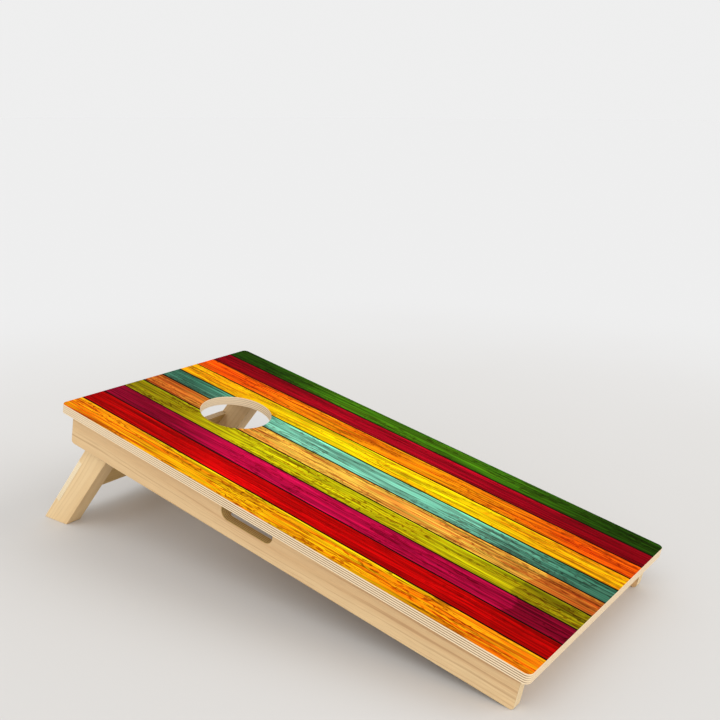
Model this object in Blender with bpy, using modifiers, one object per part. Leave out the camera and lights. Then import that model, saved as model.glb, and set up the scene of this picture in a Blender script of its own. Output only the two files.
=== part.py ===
"""Cornhole board: a printed plywood deck on a rail frame, with a pair of braced folding legs.

Rest pose: playing position. +Z up, the hole end towards +Y, floor at Z = 0. Lengths in metres.
Deck frame: X across, Y up the slope towards the hole end, Z off the playing face (0 on the face).
"""
import math

import bmesh
import bpy
from mathutils import Vector

MM = 0.001
GAP = 0.3 * MM

# Deck
DECK_LENGTH = 1200 * MM
DECK_WIDTH = 600 * MM
DECK_DEPTH = 21 * MM
DECK_CORNER = 12 * MM
PRINT_DEPTH = 0.4 * MM
PRINT_INSET = 0.5 * MM
DECK_EASING = 0.5 * MM
BAG_HOLE_DIAMETER = 166 * MM
BAG_HOLE_Y = 347.3 * MM

# Frame
PLY = 21 * MM
RAIL_OVERHANG_SIDE = 20 * MM
RAIL_LENGTH = 1162 * MM
RAIL_BOTTOM = -97 * MM
RAIL_CORNER = 8 * MM
HAND_HOLD_Y = 43.75 * MM
HAND_HOLD_LENGTH = 137.5 * MM
HAND_HOLD_BOTTOM = -60.5 * MM
HAND_HOLD_CORNER = 18 * MM
TAIL_RAIL_Y = -546 * MM
BATTEN_Y = 118.5 * MM
BATTEN_BOTTOM = -62 * MM

# Legs
TILT = math.radians(11.53)
LEAN = math.radians(28.2)
PIVOT_Y = 493 * MM
PIVOT_Z = -58 * MM
LEG_WIDTH = 63.5 * MM
LEG_DEPTH = 41 * MM
BRACE_TOP = -121.6 * MM
BRACE_HEIGHT = 151.5 * MM
BRACE_DEPTH = 12 * MM
TIP_EASING = 2.42 * MM

# Hardware
BOLT_RADIUS = 4 * MM
BOLT_CLEARANCE = 0.1 * MM
BOLT_HEAD_ACROSS = 13 * MM
BOLT_HEAD_DEPTH = 5.3 * MM
INSERT_RADIUS = 6 * MM
INSERT_DEPTH = 16 * MM
HEAD_WASHER_RADIUS = 12 * MM
HEAD_WASHER_DEPTH = 2 * MM
SPACER_RADIUS = 12 * MM
SPACER_DEPTH = 1 * MM
SCREW_HEAD_RADIUS = 4.5 * MM
SCREW_RADIUS = 2 * MM
SCREW_LENGTH = 35 * MM
SCREW_RISES = (-144 * MM, -197.35 * MM, -250.7 * MM)

RAIL_TOP = -DECK_DEPTH - GAP
RAIL_OUTER_X = DECK_WIDTH / 2 - RAIL_OVERHANG_SIDE
RAIL_INNER_X = RAIL_OUTER_X - PLY
LEG_OUTER_X = RAIL_INNER_X - SPACER_DEPTH - 2 * GAP
LEG_INNER_X = LEG_OUTER_X - LEG_DEPTH
CROSS_HALF = RAIL_INNER_X - GAP
LEAN_REACH = LEG_WIDTH / 2 + GAP
STOP_RISE = (RAIL_BOTTOM - PIVOT_Z) * math.sin(LEAN)
HEAD_RAIL_Y = PIVOT_Y + (LEAN_REACH - STOP_RISE) / math.cos(LEAN) + PLY / 2

FOOT_Y = RAIL_LENGTH / 2 - RAIL_CORNER
FOOT_Z = -RAIL_BOTTOM - RAIL_CORNER
RISE = RAIL_CORNER + FOOT_Y * math.sin(TILT) + FOOT_Z * math.cos(TILT)
LEG_SLOPE = TILT + LEAN
PIVOT_HEIGHT = RISE + PIVOT_Y * math.sin(TILT) + PIVOT_Z * math.cos(TILT)
LEG_TIP = (PIVOT_HEIGHT + LEG_WIDTH / 2 * math.sin(LEG_SLOPE)) / math.cos(LEG_SLOPE)
LEG_HEEL = LEG_TIP - LEG_WIDTH * math.tan(LEG_SLOPE)
FRONT_DROP = PRINT_DEPTH + GAP + DECK_EASING
FRONT_Y = FRONT_DROP * math.sin(TILT) - DECK_LENGTH / 2 * math.cos(TILT)
BACK_Y = (
    PIVOT_Y * math.cos(TILT)
    - PIVOT_Z * math.sin(TILT)
    + LEG_WIDTH / 2 * math.cos(LEG_SLOPE)
    + LEG_TIP * math.sin(LEG_SLOPE)
    - TIP_EASING
)

SIDES = (("left", -1), ("right", 1))


def clear_scene():
    for obj in list(bpy.data.objects):
        bpy.data.objects.remove(obj, do_unlink=True)
    for group in list(bpy.data.collections):
        bpy.data.collections.remove(group)


def new_collection(name):
    group = bpy.data.collections.new(name)
    bpy.context.scene.collection.children.link(group)
    return group


def new_material(name, colour, roughness, metallic=0.0):
    material = bpy.data.materials.new(name)
    material.use_nodes = True
    shader = material.node_tree.nodes["Principled BSDF"]
    shader.inputs["Base Color"].default_value = (*colour, 1)
    shader.inputs["Roughness"].default_value = roughness
    shader.inputs["Metallic"].default_value = metallic
    material.diffuse_color = (*colour, 1)
    return material


def add_empty(name, group, location, tilt, parent=None):
    empty = bpy.data.objects.new(name, None)
    group.objects.link(empty)
    empty.parent = parent
    empty.location = location
    empty.rotation_euler = (tilt, 0, 0)
    return empty


def add_object(name, bm, group, parent, material=None):
    bmesh.ops.recalc_face_normals(bm, faces=bm.faces)
    mesh = bpy.data.meshes.new(name)
    bm.to_mesh(mesh)
    bm.free()
    obj = bpy.data.objects.new(name, mesh)
    group.objects.link(obj)
    obj.parent = parent
    if material:
        mesh.materials.append(material)
    return obj


def add_cutter(name, bm, group, parent):
    obj = add_object(name, bm, group, parent)
    obj.hide_render = True
    obj.display_type = "WIRE"
    return obj


def cut(obj, cutter):
    modifier = obj.modifiers.new(cutter.name, "BOOLEAN")
    modifier.object = cutter
    modifier.operation = "DIFFERENCE"
    modifier.solver = "EXACT"


def ease_edges(obj, width, segments=2):
    modifier = obj.modifiers.new("eased_edges", "BEVEL")
    modifier.width = width
    modifier.segments = segments
    modifier.limit_method = "ANGLE"
    modifier.angle_limit = math.radians(35)


def fillet(before, corner, after, radius, segments):
    """Points of the arc that rounds one corner of an outline."""
    if radius == 0:
        return [corner]
    into = (before - corner).normalized()
    out = (after - corner).normalized()
    half = into.angle(out) / 2
    centre = corner + (into + out).normalized() * radius / math.sin(half)
    first = corner + into * radius / math.tan(half) - centre
    last = corner + out * radius / math.tan(half) - centre
    sweep = first.angle(last)
    points = []
    for step in range(segments + 1):
        share = step / segments
        blend = first * math.sin((1 - share) * sweep) + last * math.sin(share * sweep)
        points.append(centre + blend / math.sin(sweep))
    return points


def rounded_outline(corners, segments=8):
    """A closed outline from (a, b, radius) corners."""
    spots = [Vector(corner[:2]) for corner in corners]
    points = []
    for index, corner in enumerate(corners):
        before = spots[index - 1]
        after = spots[(index + 1) % len(spots)]
        points += fillet(before, spots[index], after, corner[2], segments)
    return points


def side_view(points, x):
    return [(x, point[0], point[1]) for point in points]


def plan_view(points, z):
    return [(point[0], point[1], z) for point in points]


def prism(points, travel):
    bm = bmesh.new()
    face = bm.faces.new([bm.verts.new(point) for point in points])
    grown = bmesh.ops.extrude_face_region(bm, geom=[face])
    moved = [item for item in grown["geom"] if isinstance(item, bmesh.types.BMVert)]
    bmesh.ops.translate(bm, verts=moved, vec=travel)
    return bm


def block(low, high):
    corners = ((low[0], low[1], 0), (high[0], low[1], 0), (high[0], high[1], 0), (low[0], high[1], 0))
    return prism(plan_view(rounded_outline(corners), low[2]), (0, 0, high[2] - low[2]))


def lathe(profile, segments=32):
    """Turns (radius, x) pairs about the X axis. A radius of 0 closes an end."""
    bm = bmesh.new()
    rings = []
    for radius, x in profile:
        count = segments if radius else 1
        ring = []
        for step in range(count):
            angle = math.tau * step / segments
            ring.append(bm.verts.new((x, radius * math.cos(angle), radius * math.sin(angle))))
        rings.append(ring)
    for first, second in zip(rings, rings[1:]):
        join_rings(bm, first, second)
    if len(rings[0]) > 1 and len(rings[-1]) > 1:
        join_rings(bm, rings[-1], rings[0])
    return bm


def join_rings(bm, first, second):
    count = max(len(first), len(second))
    for step in range(count):
        after = (step + 1) % count
        corners = [first[step % len(first)], first[after % len(first)]]
        corners += [second[after % len(second)], second[step % len(second)]]
        unique = list(dict.fromkeys(corners))
        bm.faces.new(unique)


def shade_round(obj, angle=35):
    obj.data.shade_smooth()
    obj.data.set_sharp_from_angle(angle=math.radians(angle))


def deck_outline(inset):
    x = DECK_WIDTH / 2 - inset
    y = DECK_LENGTH / 2 - inset
    r = DECK_CORNER - inset
    return rounded_outline(((-x, -y, r), (x, -y, r), (x, y, r), (-x, y, r)))


def bag_hole_cutter(name, grow, cutters, parent):
    radius = BAG_HOLE_DIAMETER / 2 + grow
    bm = bmesh.new()
    bmesh.ops.create_cone(bm, cap_ends=True, segments=96, radius1=radius, radius2=radius, depth=0.1)
    bmesh.ops.translate(bm, verts=bm.verts, vec=(0, BAG_HOLE_Y, 0))
    return add_cutter(name, bm, cutters, parent)


def make_deck(board, cutters, parent, ply):
    top = -PRINT_DEPTH - GAP
    bm = prism(plan_view(deck_outline(0), -DECK_DEPTH), (0, 0, DECK_DEPTH + top))
    deck = add_object("deck", bm, board, parent, ply)
    cut(deck, bag_hole_cutter("bag_hole", 0, cutters, parent))
    ease_edges(deck, DECK_EASING, 1)
    shade_round(deck)


def make_print(board, cutters, parent, ink):
    bm = prism(plan_view(deck_outline(PRINT_INSET), -PRINT_DEPTH), (0, 0, PRINT_DEPTH))
    film = add_object("deck_print", bm, board, parent, ink)
    cut(film, bag_hole_cutter("print_hole", PRINT_INSET, cutters, parent))
    shade_round(film)


def rail_outline():
    end = RAIL_LENGTH / 2
    low = HAND_HOLD_Y - HAND_HOLD_LENGTH / 2
    high = HAND_HOLD_Y + HAND_HOLD_LENGTH / 2
    return rounded_outline(
        (
            (-end, RAIL_BOTTOM, RAIL_CORNER),
            (end, RAIL_BOTTOM, RAIL_CORNER),
            (end, RAIL_TOP, 0),
            (high, RAIL_TOP, 0),
            (high, HAND_HOLD_BOTTOM, HAND_HOLD_CORNER),
            (low, HAND_HOLD_BOTTOM, HAND_HOLD_CORNER),
            (low, RAIL_TOP, 0),
            (-end, RAIL_TOP, 0),
        )
    )


def make_side_rail(side, sign, board, cutters, parent, ply):
    start = min(sign * RAIL_OUTER_X, sign * RAIL_INNER_X)
    bm = prism(side_view(rail_outline(), start), (PLY, 0, 0))
    rail = add_object("side_rail_" + side, bm, board, parent, ply)
    ease_edges(rail, 0.8 * MM)
    radius = INSERT_RADIUS + GAP
    mouth = sign * (RAIL_INNER_X - 0.005)
    floor = sign * (RAIL_INNER_X + INSERT_DEPTH + 2 * GAP)
    bore = add_cutter("insert_bore_" + side, rod(radius, mouth, floor), cutters, parent)
    bore.location = (0, PIVOT_Y, PIVOT_Z)
    cut(rail, bore)
    shade_round(rail)


def rod(radius, start, end, segments=32):
    low = min(start, end)
    high = max(start, end)
    return lathe(((0, low), (radius, low), (radius, high), (0, high)), segments)


def make_cross_rail(name, y, bottom, board, parent, ply):
    low = (-CROSS_HALF, y - PLY / 2, bottom)
    high = (CROSS_HALF, y + PLY / 2, RAIL_TOP)
    rail = add_object(name, block(low, high), board, parent, ply)
    ease_edges(rail, 0.8 * MM)
    shade_round(rail)


def leg_outline():
    half = LEG_WIDTH / 2
    step = half - BRACE_DEPTH - GAP
    upper = BRACE_TOP + GAP
    lower = BRACE_TOP - BRACE_HEIGHT - GAP
    corners = (
        (-half, -LEG_HEEL, 2 * MM),
        (half, -LEG_TIP, 2 * MM),
        (half, lower, 0),
        (step, lower, 0),
        (step, upper, 0),
        (half, upper, 0),
    )
    points = rounded_outline(corners, 3)
    for turn in range(25):
        angle = math.pi * turn / 24
        points.append(Vector((half * math.cos(angle), half * math.sin(angle))))
    return points


def make_leg(side, sign, board, cutters, pivot, wood):
    start = min(sign * LEG_OUTER_X, sign * LEG_INNER_X)
    bm = prism(side_view(leg_outline(), start), (LEG_DEPTH, 0, 0))
    leg = add_object("leg_" + side, bm, board, pivot, wood)
    ease_edges(leg, 1.0 * MM)
    radius = BOLT_RADIUS + BOLT_CLEARANCE
    bore = rod(radius, sign * (LEG_INNER_X - 0.01), sign * (LEG_OUTER_X + 0.01), 48)
    cut(leg, add_cutter("bolt_bore_" + side, bore, cutters, pivot))
    shade_round(leg)
    return leg


def make_brace(board, pivot, ply):
    back = LEG_WIDTH / 2 - BRACE_DEPTH
    low = (-LEG_OUTER_X, back, BRACE_TOP - BRACE_HEIGHT)
    high = (LEG_OUTER_X, LEG_WIDTH / 2, BRACE_TOP)
    brace = add_object("leg_brace", block(low, high), board, pivot, ply)
    ease_edges(brace, 0.6 * MM)
    shade_round(brace)
    return brace


def screw_profile(grow):
    head = SCREW_HEAD_RADIUS + grow
    shank = SCREW_RADIUS + grow
    neck = (SCREW_HEAD_RADIUS - SCREW_RADIUS) + 0.4 * MM
    lip = 0.01 if grow else 0.0
    taper = SCREW_LENGTH - 5 * MM
    return (
        (0, -lip),
        (head, -lip),
        (head, 0.4 * MM),
        (shank, neck),
        (shank, taper + grow),
        (0.35 * MM + grow, SCREW_LENGTH + grow),
        (0, SCREW_LENGTH + grow),
    )


def place_screw(obj, x, z):
    obj.location = (x, LEG_WIDTH / 2 - 0.1 * MM, z)
    obj.rotation_euler = (0, 0, -math.pi / 2)


def recess_cutter(name, x, z, cutters, pivot):
    """A cross drive: two crossed bars, cut 2 mm into the head."""
    arm = 2.4 * MM
    wing = 0.55 * MM
    corners = [
        (wing, wing), (wing, arm), (-wing, arm), (-wing, wing), (-arm, wing), (-arm, -wing),
        (-wing, -wing), (-wing, -arm), (wing, -arm), (wing, -wing), (arm, -wing), (arm, wing),
    ]
    bm = prism(side_view(corners, -0.002), (0.004, 0, 0))
    cross = add_cutter(name, bm, cutters, pivot)
    place_screw(cross, x, z)
    return cross


def make_brace_screw(name, x, z, targets, board, cutters, pivot, steel):
    screw = add_object(name, lathe(screw_profile(0), 24), board, pivot, steel)
    place_screw(screw, x, z)
    cut(screw, recess_cutter(name + "_drive", x, z, cutters, pivot))
    shade_round(screw)
    hole = add_cutter(name + "_hole", lathe(screw_profile(GAP), 24), cutters, pivot)
    place_screw(hole, x, z)
    for target in targets:
        cut(target, hole)


def hexagon(across):
    radius = across / math.sqrt(3)
    return [(radius * math.cos(math.tau * k / 6), radius * math.sin(math.tau * k / 6)) for k in range(6)]


def make_pivot_bolt(side, sign, board, cutters, parent, steel):
    """A hexagon-head bolt: the head meets the washer on the inner face of the leg."""
    seat = LEG_INNER_X - HEAD_WASHER_DEPTH - 2 * GAP
    tip = RAIL_INNER_X + INSERT_DEPTH - 1 * MM
    shank = BOLT_RADIUS
    profile = (
        (0, sign * (seat - 0.5 * MM)),
        (shank, sign * (seat - 0.5 * MM)),
        (shank, sign * (tip - 1 * MM)),
        (shank - 1 * MM, sign * tip),
        (0, sign * tip),
    )
    bolt = add_object("pivot_bolt_" + side, lathe(profile, 48), board, parent, steel)
    bolt.location = (0, PIVOT_Y, PIVOT_Z)
    shade_round(bolt)
    head = prism(side_view(hexagon(BOLT_HEAD_ACROSS), sign * seat), (-sign * BOLT_HEAD_DEPTH, 0, 0))
    head_shape = add_cutter("bolt_head_" + side, head, cutters, parent)
    head_shape.location = (0, PIVOT_Y, PIVOT_Z)
    ease_edges(head_shape, 0.5 * MM, 1)
    union = bolt.modifiers.new("head", "BOOLEAN")
    union.object = head_shape
    union.operation = "UNION"
    union.solver = "EXACT"


def ring(outer, inner, start, end, segments=48):
    low = min(start, end)
    high = max(start, end)
    return lathe(((inner, low), (outer, low), (outer, high), (inner, high)), segments)


def make_ring(name, outer, start, end, board, parent, steel):
    inner = BOLT_RADIUS + GAP
    part = add_object(name, ring(outer, inner, start, end), board, parent, steel)
    part.location = (0, PIVOT_Y, PIVOT_Z)
    shade_round(part)


def make_pivot_rings(side, sign, board, parent, zinc, nylon, brass):
    seat = LEG_INNER_X - GAP
    make_ring(
        "head_washer_" + side, HEAD_WASHER_RADIUS,
        sign * (seat - HEAD_WASHER_DEPTH), sign * seat, board, parent, zinc,
    )
    face = LEG_OUTER_X + GAP
    make_ring(
        "spacer_washer_" + side, SPACER_RADIUS,
        sign * face, sign * (face + SPACER_DEPTH), board, parent, nylon,
    )
    mouth = RAIL_INNER_X + GAP
    make_ring(
        "threaded_insert_" + side, INSERT_RADIUS,
        sign * mouth, sign * (mouth + INSERT_DEPTH), board, parent, brass,
    )


def make_leg_set(board, cutters, pivot, wood, ply, steel):
    brace = make_brace(board, pivot, ply)
    for side, sign in SIDES:
        leg = make_leg(side, sign, board, cutters, pivot, wood)
        x = sign * (LEG_OUTER_X + LEG_INNER_X) / 2
        for number, z in enumerate(SCREW_RISES, 1):
            name = "brace_screw_" + side + "_" + str(number)
            make_brace_screw(name, x, z, (leg, brace), board, cutters, pivot, steel)


def build():
    clear_scene()
    board = new_collection("cornhole_board")
    cutters = new_collection("cutters")
    cutters.hide_render = True
    ply = new_material("birch_ply", (0.66, 0.45, 0.24), 0.55)
    deck_ply = new_material("deck_ply", (0.72, 0.56, 0.36), 0.55)
    brace_ply = new_material("brace_ply", (0.68, 0.49, 0.28), 0.55)
    wood = new_material("leg_wood", (0.69, 0.47, 0.24), 0.5)
    ink = new_material("printed_film", (0.8, 0.28, 0.05), 0.4)
    zinc = new_material("zinc_steel", (0.6, 0.6, 0.62), 0.3, 1.0)
    brass = new_material("insert_brass", (0.72, 0.55, 0.26), 0.35, 1.0)
    nylon = new_material("nylon", (0.82, 0.8, 0.74), 0.45)

    middle = (FRONT_Y + BACK_Y) / 2
    deck_frame = add_empty("deck_frame", board, (0, -middle, RISE), TILT)
    pivot = add_empty("leg_pivot", board, (0, PIVOT_Y, PIVOT_Z), LEAN, deck_frame)

    make_deck(board, cutters, deck_frame, deck_ply)
    make_print(board, cutters, deck_frame, ink)
    make_cross_rail("head_rail", HEAD_RAIL_Y, RAIL_BOTTOM, board, deck_frame, ply)
    make_cross_rail("tail_rail", TAIL_RAIL_Y, RAIL_BOTTOM, board, deck_frame, ply)
    make_cross_rail("cross_batten", BATTEN_Y, BATTEN_BOTTOM, board, deck_frame, ply)
    make_leg_set(board, cutters, pivot, wood, brace_ply, zinc)
    for side, sign in SIDES:
        make_side_rail(side, sign, board, cutters, deck_frame, ply)
        make_pivot_bolt(side, sign, board, cutters, deck_frame, zinc)
        make_pivot_rings(side, sign, board, deck_frame, zinc, nylon, brass)


build()
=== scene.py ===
import math
from collections import namedtuple

import bmesh
import bpy
import numpy as np
from mathutils import Matrix, Vector
from mathutils.geometry import tessellate_polygon


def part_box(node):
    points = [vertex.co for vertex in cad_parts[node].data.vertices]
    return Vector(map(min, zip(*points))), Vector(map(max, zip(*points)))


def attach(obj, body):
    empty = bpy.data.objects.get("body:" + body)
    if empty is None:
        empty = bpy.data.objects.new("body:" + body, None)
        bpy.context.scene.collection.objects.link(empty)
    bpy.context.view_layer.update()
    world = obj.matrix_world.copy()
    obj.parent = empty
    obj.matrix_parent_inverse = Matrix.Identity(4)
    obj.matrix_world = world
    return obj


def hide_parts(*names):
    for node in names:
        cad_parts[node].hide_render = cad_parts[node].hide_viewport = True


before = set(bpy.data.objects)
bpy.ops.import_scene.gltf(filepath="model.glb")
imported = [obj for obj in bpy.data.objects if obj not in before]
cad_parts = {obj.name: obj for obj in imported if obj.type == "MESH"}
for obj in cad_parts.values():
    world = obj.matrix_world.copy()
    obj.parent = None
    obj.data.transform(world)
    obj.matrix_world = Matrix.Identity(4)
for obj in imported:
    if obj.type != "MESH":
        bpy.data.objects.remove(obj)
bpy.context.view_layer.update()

MM = 0.001

# Sizes shared with the CAD model, in the deck's frame: X across, Y up the slope, Z off the playing face
TILT = math.radians(11.53)
LEAN = math.radians(28.2)
DECK_LENGTH = 1200 * MM
DECK_WIDTH = 600 * MM
DECK_DEPTH = 21 * MM
DECK_CORNER = 12 * MM
DECK_CAD_TOP = -0.7 * MM
PRINT_DEPTH = 0.4 * MM
BAG_HOLE_RADIUS = 83 * MM
BAG_HOLE_Y = 347.3 * MM
PLY = 21 * MM
RAIL_OUTER_X = 280 * MM
RAIL_INNER_X = RAIL_OUTER_X - PLY
RAIL_END = 581 * MM
RAIL_BOTTOM = -97 * MM
RAIL_CORNER = 8 * MM
BATTEN_BOTTOM = -62 * MM
HAND_HOLD_Y = 43.75 * MM
HAND_HOLD_HALF = 68.75 * MM
HAND_HOLD_BOTTOM = -60.5 * MM
HAND_HOLD_CORNER = 18 * MM
PIVOT_Y = 493 * MM
PIVOT_Z = -58 * MM
BOLT_RADIUS = 4 * MM
BOLT_HEAD_ACROSS = 13 * MM
BOLT_HEAD_DEPTH = 5.3 * MM
BOLT_SEAT_X = 213.8 * MM
BOLT_TIP_X = 274 * MM
WASHER_RADIUS = 12 * MM
HEAD_WASHER_DEPTH = 2 * MM
SPACER_DEPTH = 1 * MM
INSERT_RADIUS = 6 * MM
INSERT_DEPTH = 16 * MM
GAP = 0.3 * MM

# Sizes of the leg set, in the leg's frame: X across, Z up the leg, the origin on the pivot
LEG_HALF = 31.75 * MM
LEG_OUTER_X = 257.4 * MM
LEG_INNER_X = 216.4 * MM
LEG_TIP = -353.34 * MM
LEG_HEEL = -300.565 * MM
BRACE_TOP = -121.6 * MM
BRACE_FOOT = -273.1 * MM
BRACE_DEPTH = 12 * MM
SCREW_RISES = (-144 * MM, -197.35 * MM, -250.7 * MM)
SCREW_LENGTH = 35 * MM
SCREW_HEAD = 4.5 * MM
SCREW_SHANK = 2 * MM

# Finer shapes: joints that look closed, rounded edges, holes, threads and shading
JOINT = 0.02 * MM
FIT = 0.05 * MM
PRINT_INSET = 0.4 * MM
PRINT_EASING = 0.12 * MM
DECK_EASING = 0.5 * MM
RAIL_EASING = 0.8 * MM
RAIL_ARRIS = 0.6 * MM
BRACE_EASING = 0.6 * MM
LEG_EASING = 1.0 * MM
LEG_CORNER = 2 * MM
LEG_TOP_STEPS = 32
BOLT_HOLE_START = 200 * MM
BOLT_HOLE_END = 270 * MM
BOLT_PITCH = 1.25 * MM
BOLT_THREAD_LENGTH = 20 * MM
INSERT_PITCH = 2.5 * MM
SCREW_SINK = 0.1 * MM
SCREW_PITCH = 1.8 * MM
SCREW_THREAD_START = 13 * MM
FACE_TOLERANCE = 0.01 * MM
WOOD_SHARP_ANGLE = 38
HARDWARE_SHARP_ANGLE = 30

# Plywood: wide layers with the grain along the panel, narrow ones with it across. A panel has so many
# pairs of them, and one more wide layer on top.
WIDE_LAYER = 2.68 * MM
NARROW_LAYER = 1.74 * MM
LAYER_PAIR = WIDE_LAYER + NARROW_LAYER
WIDE_SHARE = WIDE_LAYER / LAYER_PAIR
GLUE_GROOVE = 0.05 * MM
PANEL_PAIRS = 4
BRACE_PAIRS = 3

# Where the deck lies in its veneer, and where along it the dark layers of its edge grow faint
DECK_SHIFT = 1.7
DECK_EDGE_FADING = (DECK_SHIFT + 0.12, DECK_SHIFT + 0.46)

# Studio: lamps are name, strength, spread in degrees and direction
FLOOR_RADIUS = 40.0
SKY_STRENGTH = 0.86
LAMPS = (
    ("key", 0.95, 36, (-0.42, 0.92, -0.62)),
    ("fill", 1.2, 70, (0.8, 0.45, -0.78)),
)
CAMERA_LENS = 50
CAMERA_SENSOR = 36
CAMERA_REACH = 100
CAMERA_PLACE = (-1.61541, -1.29409, 1.00247)
CAMERA_TURN = Matrix((
    (0.59613138, 0.20557818, -0.77612180),
    (-0.80287820, 0.15714844, -0.57505739),
    (0.00374706, 0.96594101, 0.25873536),
))

SIDES = (("left", -1), ("right", 1))


def deck_frame():
    """The deck's own frame, with its origin in the middle of the playing face."""
    low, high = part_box("deck")
    turn = Matrix.Rotation(TILT, 4, "X")
    middle = turn @ Vector((0, 0, (DECK_CAD_TOP - DECK_DEPTH) / 2))
    return Matrix.Translation((low + high) / 2 - middle) @ turn


DECK = deck_frame()
PIVOT = DECK @ Matrix.Translation((0, PIVOT_Y, PIVOT_Z))
LEG = PIVOT @ Matrix.Rotation(LEAN, 4, "X")


def axes(grain, across):
    """A piece's own X, Y and Z as directions in the frame it sits in."""
    along = Vector(grain)
    side = Vector(across)
    return Matrix((along, side, along.cross(side))).transposed().to_4x4()


DECK_AXES = axes((0, 1, 0), (-1, 0, 0))
SIDE_RAIL_AXES = axes((0, 1, 0), (0, 0, 1))
CROSS_AXES = axes((1, 0, 0), (0, 0, 1))
LEG_AXES = axes((0, 0, 1), (0, 1, 0))


# --------------------------------------------------------------------------------------------------
# Node graphs


class Graph:
    """A material's nodes. Most calls add one node and return its output."""

    def __init__(self, name):
        self.material = bpy.data.materials.new(name)
        self.material.use_nodes = True
        self.nodes = self.material.node_tree.nodes
        self.links = self.material.node_tree.links
        self.shader = self.nodes["Principled BSDF"]

    def feed(self, socket, value):
        if isinstance(value, bpy.types.NodeSocket):
            self.links.new(value, socket)
        elif value is not None:
            socket.default_value = value

    def add(self, kind, **settings):
        node = self.nodes.new(kind)
        for key, value in settings.items():
            setattr(node, key, value)
        return node

    def attribute(self, name, output="Vector"):
        return self.add("ShaderNodeAttribute", attribute_name=name).outputs[output]

    def math(self, operation, first, second=None, third=None):
        node = self.add("ShaderNodeMath", operation=operation)
        for socket, value in zip(node.inputs, (first, second, third)):
            self.feed(socket, value)
        return node.outputs[0]

    def split(self, vector):
        node = self.add("ShaderNodeSeparateXYZ")
        self.feed(node.inputs[0], vector)
        return node.outputs

    def join(self, x, y, z=0.0):
        node = self.add("ShaderNodeCombineXYZ")
        for socket, value in zip(node.inputs, (x, y, z)):
            self.feed(socket, value)
        return node.outputs[0]

    def stretch(self, vector, scale, shift=(0, 0, 0)):
        """A place scaled on each axis, so that noise there has that many features to the metre."""
        node = self.add("ShaderNodeMapping")
        self.feed(node.inputs["Vector"], vector)
        node.inputs["Scale"].default_value = scale
        node.inputs["Location"].default_value = shift
        return node.outputs[0]

    def noise(self, vector, detail=2.0, roughness=0.5):
        node = self.add("ShaderNodeTexNoise")
        self.feed(node.inputs["Vector"], vector)
        node.inputs["Scale"].default_value = 1.0
        node.inputs["Detail"].default_value = detail
        node.inputs["Roughness"].default_value = roughness
        return node.outputs["Fac"]

    def map(self, value, low, high, to_low=0.0, to_high=1.0, smooth=False):
        kind = "SMOOTHSTEP" if smooth else "LINEAR"
        node = self.add("ShaderNodeMapRange", interpolation_type=kind)
        self.feed(node.inputs["Value"], value)
        node.inputs["From Min"].default_value = low
        node.inputs["From Max"].default_value = high
        node.inputs["To Min"].default_value = to_low
        node.inputs["To Max"].default_value = to_high
        return node.outputs["Result"]

    def ramp(self, value, stops, interpolation="LINEAR"):
        """A colour for each stretch of a value, from (place, colour) stops."""
        node = self.add("ShaderNodeValToRGB")
        node.color_ramp.interpolation = interpolation
        elements = node.color_ramp.elements
        while len(elements) < len(stops):
            elements.new(1.0)
        for element, (place, colour) in zip(elements, stops):
            element.position = place
            element.color = (*colour, 1.0)
        self.feed(node.inputs["Fac"], value)
        return node.outputs["Color"]

    def mix(self, share, first, second, blend="MIX"):
        node = self.add("ShaderNodeMix", data_type="RGBA", blend_type=blend)
        colours = [socket for socket in node.inputs if socket.type == "RGBA"]
        self.feed(node.inputs[0], share)
        for socket, value in zip(colours, (first, second)):
            self.feed(socket, (*value, 1.0) if isinstance(value, tuple) else value)
        return next(socket for socket in node.outputs if socket.type == "RGBA")

    def scaled(self, colour, value):
        """A colour made lighter or darker by a value."""
        node = self.add("ShaderNodeVectorMath", operation="SCALE")
        self.feed(node.inputs[0], colour)
        self.feed(node.inputs["Scale"], value)
        return node.outputs[0]

    def finish(self, colour, roughness, height=None, depth=0.0, **uniform):
        """Feeds the shader. depth is the bump's height, and uniform holds the shader's own plain values."""
        self.feed(self.shader.inputs["Base Color"], colour)
        self.feed(self.shader.inputs["Roughness"], roughness)
        for key, value in uniform.items():
            self.shader.inputs[key.replace("_", " ")].default_value = value
        if height is not None:
            bump = self.add("ShaderNodeBump")
            bump.inputs["Distance"].default_value = depth
            self.feed(bump.inputs["Height"], height)
            self.links.new(bump.outputs[0], self.shader.inputs["Normal"])
        return self.material


def srgb(red, green, blue):
    """A display colour, 0 to 255, as the linear colour that a shader takes."""
    shares = (red / 255, green / 255, blue / 255)
    return tuple(
        share / 12.92 if share <= 0.04045 else ((share + 0.055) / 1.055) ** 2.4 for share in shares
    )


# --------------------------------------------------------------------------------------------------
# Materials


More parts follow.
